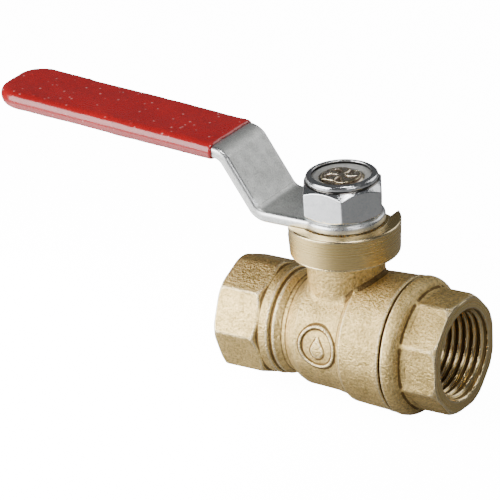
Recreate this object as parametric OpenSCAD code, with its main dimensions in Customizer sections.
// Lever ball valve for a half-inch pipe, with a female pipe thread at each end.
//
// Frame: X runs along the pipe from the inlet to the outlet, Z runs up the stem, and the origin
// is the centre of the ball. The lever points to -X, which is the open position, and turns
// clockwise seen from above to +Y, which is closed. All sizes are in millimetres.

/* [Pipe ends] */
// Distance from the ball centre to the inlet face
inlet_len = 27.7; // [27:0.1:45]
// Length of the end cap's head, from the joint line to the outlet face
cap_head_len = 13; // [12.5:0.1:25]
// Radius at the crests of the female pipe thread
thread_r = 9.32; // [8.2:0.02:9.6]
// Length of full thread at each end
thread_len = 10.2; // [6:0.1:10.2]
// Length of the countersink in front of each thread
lead_in_len = 1.2; // [0.5:0.1:1.5]
// Radius of the water way behind the threads
port_r = 7.5; // [6:0.1:7.8]

/* [Wrench flats] */
// Width across the inlet end's eight flats
inlet_af = 25; // [24.6:0.1:27]
// Length of the inlet end's flats
inlet_flat_len = 10.8; // [6:0.1:11]
// Width of the trimmed flat left along the forging's parting line
parting_w = 4.8; // [2:0.1:6]
// Width across the end cap's eight flats
cap_af = 25.5; // [25:0.1:28]
// How far round the pipe the end cap stopped when it was tightened
cap_turn = -2; // [-20:1:20]
// Height of the chamfers on the wrench ends
end_chamfer = 0.6; // [0.2:0.1:1]

/* [Ball and seats] */
// Radius of the ball
ball_r = 10.5; // [10.2:0.1:13]
// Radius of the hole through the ball
ball_bore_r = 7; // [5.5:0.1:7.2]
// Radial thickness of a seat ring
seat_w = 3.1; // [2.6:0.1:3.4]
// Length of a seat ring along the pipe
seat_len = 3.3; // [2.5:0.1:3.6]
// Seat ring left behind the edge that touches the ball
seat_back = 1.55; // [1:0.05:2]
// Play between a seat ring and the ball
seat_gap = 0.12; // [0.05:0.01:0.3]
// Space between the ball and the chamber round it
chamber_gap = 0.7; // [0.4:0.1:1.5]
// Depth of the slot across the top of the ball
slot_depth = 3; // [2:0.1:3.4]

/* [Forged body] */
// Wall round the ball chamber
chamber_wall = 2.1; // [1.6:0.1:4]
// Radius of the short round band beside the inlet flats
band_r = 12.35; // [12:0.05:13]
// Length of that band
band_len = 2.6; // [1:0.1:4]
// Radius at the narrowest place between the band and the chamber
neck_r = 11.1; // [10.6:0.1:12]
// Radius of the raised ring on the front of the chamber
medallion_r = 4.9; // [3:0.1:6]
// Radius of the stem boss
boss_r = 8.7; // [8.4:0.1:10]

/* [Joint between body and end cap] */
// Radius of the screw joint
joint_r = 13; // [12.9:0.1:16]
// Wall of the body outside the screw joint
joint_wall = 2.5; // [1.8:0.1:4]
// Distance from the back of the outlet seat to the joint line
joint_len = 7.2; // [6:0.1:12]
// How far the cap's flange stands out past the body
flange_lip = 0.2; // [0:0.1:2]
// Straight part of the flange's edge
flange_edge = 1.2; // [0.6:0.1:3]
// Thickness of the cap's O-ring
cap_ring_d = 1.3; // [1:0.1:2]

/* [Stem and packing] */
// Radius of the stem
stem_r = 5; // [4.4:0.1:5.4]
// Thickness of the stem's tongue, which fits the ball's slot
tongue_t = 5; // [3.5:0.1:6]
// Radius of the shoulder that keeps the stem in
shoulder_r = 6.4; // [6.2:0.1:7.2]
// Height of that shoulder
shoulder_h = 2; // [1.5:0.1:3]
// Thickness of the thrust washer on the shoulder
thrust_t = 0.8; // [0.5:0.1:1.5]
// Height of the bore that guides the stem
guide_len = 5; // [4.6:0.1:9]
// Thickness of each stem O-ring
stem_ring_d = 1.2; // [1:0.1:1.4]
// Radius of the packing chamber
packing_r = 7.6; // [7:0.1:7.8]
// Height of one packing ring
packing_h = 1.8; // [1:0.1:2.2]
// Depth of the packing chamber
packing_depth = 5.3; // [5:0.1:8]
// Radius of the gland ring's head
gland_head_r = 8.6; // [8:0.1:9.2]
// Height of the gland ring's head
gland_head_h = 2.15; // [1:0.05:3]

/* [Stop collar] */
// Radius of the collar at its rim
collar_r = 12.7; // [12.2:0.1:15]
// How much smaller the collar is at its underside
collar_draft = 0.4; // [0:0.1:1]
// Height of the collar from its underside to its rim
collar_h = 7.5; // [6:0.1:12]
// Height of the stop rim above the collar's floor
rim_h = 2.9; // [2.7:0.1:3.6]
// Wall of the stop rim
rim_w = 2.9; // [2:0.1:3]

/* [Lever] */
// Width of the steel strip
strip_w = 16.6; // [14:0.1:17]
// Thickness of the strip
strip_t = 2.7; // [2:0.1:4]
// Radius of the strip's round end over the stem
strip_end_r = 9.3; // [8.8:0.1:9.6]
// Distance from the stem to the first bend
bend_start = 14.2; // [13.4:0.1:20]
// Height that the strip climbs between its bends
crank_rise = 13; // [6:0.5:30]
// Angle of the climbing part
crank_angle = 48; // [30:1:65]
// Angle at which the grip climbs
grip_angle = 3.4; // [0:0.1:10]
// Distance from the stem to the end of the lever
lever_len = 87.4; // [70:0.1:140]
// Radius of the strip's corners at the far end
tip_corner_r = 5.9; // [1:0.1:7]
// Thickness of the plastic coat on the grip
coat_t = 0.8; // [0.5:0.1:2]
// Distance from the second bend to the edge of the coat
coat_start = 2.3; // [1:0.1:20]

/* [Lock nut] */
// Width across the nut's flats
nut_af = 17; // [16:0.5:19]
// Height of the nut's hexagon
nut_hex_h = 7.2; // [5:0.1:9]
// Height of the round collar above the hexagon
nut_collar_h = 1.9; // [1.4:0.1:4]
// Radius of that collar
nut_collar_r = 8.1; // [7.6:0.1:8.1]
// Radius of the nylon ring inside the collar
insert_r = 7.1; // [6:0.1:7.2]

/* [Hidden] */

// Clearances
run_gap = 0.05;      // radial play of a turning fit
sit_gap = 0.05;      // play between pieces that sit against each other
flat_gap = 0.02;     // play above and below a flat ring
slot_gap = 0.15;     // play of the stem's tongue in the ball's slot
stop_gap = 0.1;      // play between the lever and the stop rim's two ends
cut = 1;             // how far a cutting shape runs past the face it cuts
round_fn = 96;       // sides of a round shape, which is rebuilt as a true circle
wire_fn = 32;        // the same for O-ring sections

// Small edges and blends
edge = 0.3;          // chamfer on forged and turned edges
soft_edge = 0.6;     // chamfer on lead-ins and rounded tops
tip_chamfer = 0.8;   // chamfer on the stem's end
flange_round = 3;    // radius of the flange's rounded front
flange_sweep = 78;   // angle of that radius
nut_round = 1.2;     // radius round the top of the nut's collar
lip_t = 0.5;         // thickness of the lip rolled over the nylon ring
insert_lip = 0.4;    // how far that lip reaches in
insert_sink = 0.4;   // how far the nylon ring goes into the hexagon

// Small shapes of the forging, measured from the end of the round band
groove_at = 0.8;     // bottom of the V groove
groove_depth = 0.75; // depth of the V groove
ridge_at = 1.6;      // ridge behind the groove
ridge_drop = 0.3;    // how much lower than the band that ridge is
neck_back = 1.4;     // from the back of the inlet seat to the narrowest place
crown_back = 1.5;    // from the back of the inlet seat to the chamber's full width
crown_len = 1.1;     // length of the chamber's rounded shoulder
crown_drop = 0.8;    // drop of the shoulder's outer end
crown_ease = 0.2;    // drop of its inner end
step_back = 1.2;     // from the spigot's end to the foot of the joint's wall
step_len = 3.4;      // length of the slope up to the joint's wall

// Medallion on the front of the chamber
medallion_at = [-0.4, 1.4];
medallion_rim = 0.7;
medallion_sink = 0.35;
medallion_proud = 0.45;
medallion_depth = 2;

// Colours
forged_brass = "#cdb98c";
turned_brass = "#c8ad6a";
chrome = "#d9dcde";
zinc = "#b9bcbb";
red_coat = "#b5252b";
ptfe = "#f1efe8";
rubber = "#26262a";
nylon_white = "#dcdbd0";

// Ball, seats and chamber, along the pipe
seat_in_r = ball_bore_r + 0.2;
seat_out_r = seat_in_r + seat_w;
seat_x1 = sqrt(ball_r * ball_r - seat_in_r * seat_in_r) + seat_back;
seat_x0 = seat_x1 - seat_len;
pocket_r = seat_out_r + sit_gap;
chamber_bore_r = ball_r + chamber_gap;
chamber_r = chamber_bore_r + chamber_wall;

// Screw joint
spigot_x = seat_x0 + 0.6;       // the spigot's end reaches over the seat ring
spigot_r = joint_r - sit_gap;
joint_x = seat_x1 + joint_len;
joint_out_r = joint_r + joint_wall;
flange_r = joint_out_r + flange_lip;
ring_seat_len = cap_ring_d + 2 * sit_gap;
ring_mid_r = joint_r + 0.18;    // the ring stands a little out of the spigot
ring_seat_r = ring_mid_r + cap_ring_d / 2 + sit_gap;
ring_floor_r = ring_mid_r - cap_ring_d / 2 - sit_gap;
outlet_x = joint_x + cap_head_len;

// Pipe threads
lead_in_r = thread_r + lead_in_len;
thread_depth = lead_in_len + thread_len;
port_cone = thread_r - port_r;

// Stem, from the ball upwards
shoulder_z = ball_r + chamber_gap;
thrust_z = shoulder_z + shoulder_h;
guide_z = thrust_z + thrust_t;
packing_z = guide_z + guide_len;
floor_z = packing_z + packing_depth;
rim_z = floor_z + rim_h;
collar_z = rim_z - collar_h;
rim_in_r = collar_r - rim_w;
gland_z = packing_z + 2 * packing_h + sit_gap;
gland_top_z = floor_z + gland_head_h;
tongue_z = ball_r - slot_depth + slot_gap;
tongue_r = seat_x0 - 2 * run_gap - edge;
shoulder_gap = 0.2;             // play round the stem's shoulder
ring_step = 0.42 * guide_len;   // distance between the two O-rings
ring_z = [guide_z + 0.32 * guide_len, guide_z + 0.32 * guide_len + ring_step];
ring_groove_h = stem_ring_d + 2 * slot_gap;
ring_groove_r = stem_r - stem_ring_d;

// Lever, in its own side view
plate_z = gland_top_z + sit_gap;
plate_top_z = plate_z + strip_t;
bend_end = bend_start + crank_rise / tan(crank_angle);
grip_z = plate_top_z + crank_rise;
coat_x = bend_end + coat_start;
tip_z = grip_z + (lever_len - bend_end) * tan(grip_angle);

// Nut
nut_z = plate_top_z;
nut_hex_z = nut_z + nut_hex_h;
nut_top_z = nut_hex_z + nut_collar_h;
nut_corner_r = nut_af / 2 / cos(30);
stem_top_z = nut_top_z - edge;
stem_screw_r = stem_r - run_gap;
stem_neck_z = plate_z - slot_gap; // foot of the stem's flats and thread
stem_flat = 0.72 * stem_r;

// Turns a profile of [radius, distance along the pipe] points round the pipe's axis.
module turn_pipe(points) rotate([0, 90, 0]) rotate_extrude($fn = round_fn) polygon(points);

// Turns a profile of [radius, height] points round the stem's axis.
module turn_stem(points) rotate_extrude($fn = round_fn) polygon(points);

// A flat ring round the stem.
module stem_washer(in_r, out_r, low, high)
    turn_stem([[in_r, low], [out_r, low], [out_r, high], [in_r, high]]);

// Points on an arc, from angle a to angle b, in n steps.
function arc(centre, r, a, b, n = 8) =
    [for (i = [0:n]) centre + r * [cos(a + (b - a) * i / n), sin(a + (b - a) * i / n)]];

// A bar along the pipe, from one x to another, whose cross section is its children.
module along_pipe(from, to) translate([from, 0, 0]) rotate([90, 0, 90]) linear_extrude(to - from)
    children();

// Cross section of the inlet end: an octagon with a corner at the top and bottom, where the
// forging's trimmed parting line leaves a narrow flat.
module inlet_section() {
    corner = inlet_af / 2 / cos(22.5);
    diagonal = corner * sin(45);
    top = (inlet_af / 2 + corner) / 2;
    half = [
        [parting_w / 2, top], [diagonal, diagonal], [corner, 0],
        [diagonal, -diagonal], [parting_w / 2, -top]
    ];
    left_half = [for (i = [len(half) - 1:-1:0]) [-half[i].x, half[i].y]];
    polygon(concat(half, left_half));
}

// Outer surface of the forging without its flats and its boss.
module body_turned() {
    band_x = -inlet_len + inlet_flat_len;
    groove_x = band_x + band_len;
    neck_x = -seat_x1 - neck_back;
    crown_x = -seat_x1 + crown_back;
    step_x = spigot_x - step_back;
    turn_pipe(concat(
        [[0, -inlet_len], [band_r - soft_edge, -inlet_len], [band_r, band_x - cut]],
        [[band_r, groove_x], [band_r - groove_depth, groove_x + groove_at]],
        [[band_r - ridge_drop, groove_x + ridge_at], [neck_r, neck_x]],
        [[chamber_r - crown_drop, crown_x - crown_len], [chamber_r - crown_ease, crown_x]],
        [[chamber_r, step_x - step_len], [joint_out_r - edge, step_x]],
        [[joint_out_r, joint_x - edge], [joint_out_r - edge, joint_x], [0, joint_x]]
    ));
}

// Everything that is bored out of the body from its two ends.
module body_bores() turn_pipe([
    [0, -inlet_len - cut], [lead_in_r + cut, -inlet_len - cut],
    [thread_r, -inlet_len + lead_in_len], [thread_r, -inlet_len + thread_depth],
    [port_r, -inlet_len + thread_depth + port_cone], [port_r, -seat_x1 - sit_gap],
    [pocket_r, -seat_x1 - sit_gap], [pocket_r, -seat_x0], [chamber_bore_r, -seat_x0],
    [chamber_bore_r, spigot_x - edge], [joint_r, spigot_x - edge],
    [joint_r, joint_x - ring_seat_len], [ring_seat_r, joint_x - ring_seat_len],
    [ring_seat_r, joint_x + cut], [0, joint_x + cut]
]);

// The space that the lever's arm sweeps above the collar's floor, from open to closed.
module lever_sweep() {
    reach = collar_r + cut;
    side = strip_w / 2 + stop_gap;
    translate([0, 0, floor_z]) {
        cylinder(h = rim_h + cut, r = rim_in_r, $fn = round_fn);
        translate([-reach, -side, 0]) cube([reach, reach + side, rim_h + cut]);
        translate([-reach, 0, 0]) cube([reach + side, reach, rim_h + cut]);
    }
}

// Raised ring on the front of the chamber, round a plain sunk field.
module medallion()
    translate([medallion_at.x, -chamber_r - medallion_proud, medallion_at.y])
        rotate([-90, 0, 0]) difference() {
            cylinder(h = medallion_depth, r = medallion_r, $fn = round_fn);
            translate([0, 0, -cut])
                cylinder(h = cut + medallion_sink, r = medallion_r - medallion_rim, $fn = round_fn);
        }

// Trims the inlet's flats to a round end at each side, as the forging die leaves them.
module inlet_trim() {
    face_r = inlet_af / 2 + edge;
    far_r = face_r + 2 * end_chamfer;
    flat_end = -inlet_len + inlet_flat_len;
    turn_pipe([
        [0, -inlet_len], [face_r, -inlet_len], [far_r, -inlet_len + end_chamfer],
        [far_r, flat_end - edge], [inlet_af / 2 - edge, flat_end + edge], [0, flat_end + edge]
    ]);
}

module body() color(forged_brass) difference() {
    union() {
        body_turned();
        intersection() {
            along_pipe(-inlet_len, -inlet_len + inlet_flat_len) inlet_section();
            inlet_trim();
        }
        cylinder(h = collar_z + cut, r = boss_r, $fn = round_fn);
        turn_stem([
            [0, collar_z], [collar_r - collar_draft - edge, collar_z],
            [collar_r - collar_draft, collar_z + edge], [collar_r, rim_z - edge],
            [collar_r - edge, rim_z], [0, rim_z]
        ]);
        medallion();
    }
    body_bores();
    cylinder(h = guide_z, r = shoulder_r + shoulder_gap, $fn = round_fn);
    cylinder(h = rim_z, r = stem_r + run_gap, $fn = round_fn);
    translate([0, 0, packing_z]) cylinder(h = rim_h + packing_depth, r = packing_r, $fn = round_fn);
    lever_sweep();
}

// The end cap's spigot, groove and flange, and a round bar inside its octagon.
module cap_turned() {
    flange_back = joint_x + flange_edge;
    groove_x = joint_x - ring_seat_len - 2 * sit_gap;
    bar_r = cap_af / 2 - edge;
    turn_pipe(concat(
        [[0, spigot_x], [spigot_r - soft_edge, spigot_x], [spigot_r, spigot_x + soft_edge]],
        [[spigot_r, groove_x], [ring_floor_r, groove_x], [ring_floor_r, joint_x + sit_gap]],
        [[flange_r - edge, joint_x + sit_gap], [flange_r, joint_x + sit_gap + edge]],
        arc([flange_r - flange_round, flange_back], flange_round, 0, flange_sweep),
        [[bar_r, flange_back + flange_round + soft_edge], [bar_r, outlet_x - cut]],
        [[0, outlet_x - cut]]
    ));
}

// The end cap's octagon, whose corners are turned down to a cone at the outlet face.
module cap_octagon() {
    flange_back = joint_x + flange_edge;
    face_r = cap_af / 2 + edge;
    intersection() {
        along_pipe(flange_back, outlet_x)
            rotate(22.5 + cap_turn) circle(r = cap_af / 2 / cos(22.5), $fn = 8);
        turn_pipe([
            [0, flange_back], [flange_r, flange_back],
            [flange_r, outlet_x - (flange_r - face_r) * end_chamfer],
            [face_r, outlet_x], [0, outlet_x]
        ]);
    }
}

module end_cap() color(forged_brass) difference() {
    union() {
        cap_turned();
        cap_octagon();
    }
    turn_pipe([
        [0, spigot_x - cut], [pocket_r, spigot_x - cut], [pocket_r, seat_x1 + sit_gap],
        [port_r, seat_x1 + sit_gap], [port_r, outlet_x - thread_depth - port_cone],
        [thread_r, outlet_x - thread_depth], [thread_r, outlet_x - lead_in_len],
        [lead_in_r + cut, outlet_x + cut], [0, outlet_x + cut]
    ]);
}

module cap_o_ring() color(rubber) translate([joint_x - ring_seat_len / 2, 0, 0])
    rotate([0, 90, 0]) rotate_extrude($fn = round_fn) translate([ring_mid_r, 0])
        circle(d = cap_ring_d, $fn = wire_fn);

module ball() color(chrome) difference() {
    sphere(r = ball_r, $fn = round_fn);
    translate([-ball_r - cut, 0, 0]) rotate([0, 90, 0])
        cylinder(h = 2 * (ball_r + cut), r = ball_bore_r, $fn = round_fn);
    translate([-tongue_t / 2 - slot_gap, -ball_r, ball_r - slot_depth])
        cube([tongue_t + 2 * slot_gap, 2 * ball_r, slot_depth + cut]);
}

// side is 1 at the outlet and -1 at the inlet.
module seat(side) color(ptfe) difference() {
    turn_pipe([
        [seat_in_r, side * seat_x0], [seat_out_r, side * seat_x0],
        [seat_out_r, side * seat_x1], [seat_in_r, side * seat_x1]
    ]);
    sphere(r = ball_r + seat_gap, $fn = round_fn);
}

module inlet_seat() seat(-1);

module outlet_seat() seat(1);

// Two flats cut on a round bar, a distance d each side of the middle.
module flats(d, low, high) for (side = [-1, 1])
    translate([-stem_r - cut, side * (d + stem_r) - stem_r, low])
        cube([2 * (stem_r + cut), 2 * stem_r, high - low]);

module stem() color(turned_brass) {
    difference() {
        union() {
            translate([0, 0, shoulder_z]) cylinder(h = shoulder_h, r = shoulder_r, $fn = round_fn);
            turn_stem([
                [0, shoulder_z], [stem_r, shoulder_z], [stem_r, stem_neck_z],
                [stem_screw_r, stem_neck_z], [stem_screw_r, stem_top_z - tip_chamfer],
                [stem_screw_r - tip_chamfer, stem_top_z], [0, stem_top_z]
            ]);
            intersection() {
                translate([0, 0, tongue_z])
                    cylinder(h = shoulder_z - tongue_z + cut, r = tongue_r, $fn = round_fn);
                translate([-tongue_t / 2, -tongue_r, tongue_z])
                    cube([tongue_t, 2 * tongue_r, shoulder_z - tongue_z + cut]);
            }
        }
        for (z = ring_z) stem_washer(ring_groove_r, stem_r + cut,
            z - ring_groove_h / 2, z + ring_groove_h / 2);
        flats(stem_flat, stem_neck_z, stem_top_z + cut);
    }
}

module thrust_washer() color(ptfe)
    stem_washer(stem_r + run_gap, shoulder_r, thrust_z + flat_gap, guide_z - flat_gap);

module stem_o_ring(z) color(rubber) rotate_extrude($fn = round_fn)
    translate([stem_r + run_gap / 2 - stem_ring_d / 2, z]) circle(d = stem_ring_d, $fn = wire_fn);

module lower_stem_o_ring() stem_o_ring(ring_z[0]);

module upper_stem_o_ring() stem_o_ring(ring_z[1]);

module packing_ring(z) color(ptfe)
    stem_washer(stem_r + run_gap, packing_r - sit_gap, z + flat_gap, z + packing_h - flat_gap);

module lower_packing_ring() packing_ring(packing_z);

module upper_packing_ring() packing_ring(packing_z + packing_h);

module gland_ring() color(turned_brass) turn_stem([
    [stem_r + run_gap, gland_z], [packing_r - sit_gap, gland_z],
    [packing_r - sit_gap, floor_z + sit_gap], [gland_head_r, floor_z + sit_gap],
    [gland_head_r, gland_top_z - edge], [gland_head_r - edge, gland_top_z],
    [stem_r + run_gap, gland_top_z]
]);

// Side view of the lever as [x, z] points, thickened by grow on each face, from x = -from to
// x = -to. The two bends are arcs about their own centres, so the strip keeps its thickness.
module lever_side(from, to, grow) {
    bend_r = strip_t;
    // How far before each bend's corner its arc begins, on the top face
    low_set = (bend_r - grow) * tan(crank_angle / 2);
    high_turn = crank_angle - grip_angle;
    high_set = (bend_r + strip_t + grow) * tan(high_turn / 2);
    low_mid = [-bend_start - low_set + grow * tan(crank_angle / 2), plate_top_z + bend_r];
    high_corner = [-bend_end, grip_z];
    high_mid = high_corner
        + [cos(180 - grip_angle), sin(180 - grip_angle)] * (bend_r + strip_t) * tan(high_turn / 2)
        - [sin(grip_angle), cos(grip_angle)] * (bend_r + strip_t);
    low_angles = [270, 270 - crank_angle];
    high_angles = [90 - crank_angle, 90 - grip_angle];
    far_top = [-to, grip_z + (to - bend_end) * tan(grip_angle) + grow / cos(grip_angle)];
    far_low = far_top - [0, (strip_t + 2 * grow) / cos(grip_angle)];
    near_top = [-from, plate_top_z + grow];
    near_low = near_top - [0, strip_t + 2 * grow];
    polygon(concat(
        [near_top],
        arc(low_mid, bend_r - grow, low_angles[0], low_angles[1]),
        arc(high_mid, bend_r + strip_t + grow, high_angles[0], high_angles[1]),
        [far_top, far_low],
        arc(high_mid, bend_r - grow, high_angles[1], high_angles[0]),
        arc(low_mid, bend_r + strip_t + grow, low_angles[1], low_angles[0]),
        [near_low]
    ));
}

// Plan of the lever's arm, between two distances from the stem, with rounded far corners.
module arm_plan(from, to, width, corner_r) {
    side = width / 2;
    square_len = to - from - corner_r;
    translate([-to + corner_r, -side]) square([square_len, width]);
    for (y = [-side + corner_r, side - corner_r]) translate([-to + corner_r, y])
        circle(r = corner_r, $fn = round_fn);
    translate([-to, -side + corner_r]) square([corner_r + cut, width - 2 * corner_r]);
}

module lever_plate() color(zinc) difference() {
    end_x = strip_end_r + cut;
    intersection() {
        translate([0, strip_w, 0]) rotate([90, 0, 0]) linear_extrude(2 * strip_w)
            lever_side(-end_x, lever_len - coat_t, 0);
        translate([0, 0, plate_z - cut]) linear_extrude(tip_z - plate_z + 2 * cut) {
            arm_plan(0, lever_len - coat_t, strip_w, tip_corner_r);
            circle(r = strip_end_r, $fn = round_fn);
        }
    }
    difference() {
        translate([0, 0, plate_z - cut])
            cylinder(h = strip_t + 2 * cut, r = stem_r + 2 * run_gap, $fn = round_fn);
        flats(stem_flat + 2 * run_gap, plate_z - 2 * cut, plate_top_z + 2 * cut);
    }
}

module lever_grip() color(red_coat) difference() {
    width = strip_w + 2 * coat_t;
    corner_r = tip_corner_r + coat_t;
    height = tip_z - plate_z + 2 * cut + coat_t;
    intersection() {
        translate([0, strip_w, 0]) rotate([90, 0, 0]) linear_extrude(2 * strip_w)
            lever_side(0, lever_len, coat_t);
        translate([0, 0, plate_z]) linear_extrude(height)
            arm_plan(coat_x, lever_len, width, corner_r);
    }
    intersection() {
        translate([0, strip_w, 0]) rotate([90, 0, 0]) linear_extrude(2 * strip_w)
            lever_side(0, lever_len - coat_t + sit_gap, sit_gap);
        translate([0, 0, plate_z - cut]) linear_extrude(height + 2 * cut)
            arm_plan(coat_x - cut, lever_len - coat_t + sit_gap, strip_w + 2 * sit_gap,
                tip_corner_r + sit_gap);
    }
}

// The nut's hexagon, chamfered at both ends by a turned cone.
module nut_hexagon() {
    chamfer_h = (nut_corner_r - nut_af / 2) * tan(30);
    face_r = nut_af / 2 - edge / 2;
    far_r = nut_corner_r + edge;
    intersection() {
        translate([0, 0, nut_z]) cylinder(h = nut_hex_h, r = nut_corner_r, $fn = 6);
        turn_stem([
            [0, nut_z], [face_r, nut_z], [far_r, nut_z + chamfer_h + edge / 2],
            [far_r, nut_hex_z - chamfer_h - edge / 2], [face_r, nut_hex_z], [0, nut_hex_z]
        ]);
    }
}

// The round collar above the hexagon, which is rolled over the nylon ring.
module nut_collar() turn_stem(concat(
    [[0, nut_z + cut], [nut_collar_r - soft_edge, nut_z + cut]],
    [[nut_collar_r, nut_hex_z - soft_edge]],
    arc([nut_collar_r - nut_round, nut_top_z - nut_round], nut_round, 0, 90),
    [[0, nut_top_z]]
));

module lock_nut() color(chrome) difference() {
    insert_z = nut_hex_z - insert_sink;
    lip_r = insert_r - insert_lip;
    union() {
        nut_hexagon();
        nut_collar();
    }
    translate([0, 0, nut_z - cut]) cylinder(h = nut_hex_h + cut, r = stem_r, $fn = round_fn);
    turn_stem([
        [0, insert_z], [insert_r, insert_z], [insert_r, nut_top_z - lip_t],
        [lip_r, nut_top_z - lip_t], [lip_r, nut_top_z + cut], [0, nut_top_z + cut]
    ]);
}

module nut_insert() color(nylon_white) stem_washer(
    stem_r, insert_r - sit_gap, nut_hex_z - insert_sink + sit_gap, nut_top_z - lip_t - 2 * sit_gap
);

body();
end_cap();
cap_o_ring();
ball();
inlet_seat();
outlet_seat();
stem();
thrust_washer();
lower_stem_o_ring();
upper_stem_o_ring();
lower_packing_ring();
upper_packing_ring();
gland_ring();
lever_plate();
lever_grip();
lock_nut();
nut_insert();
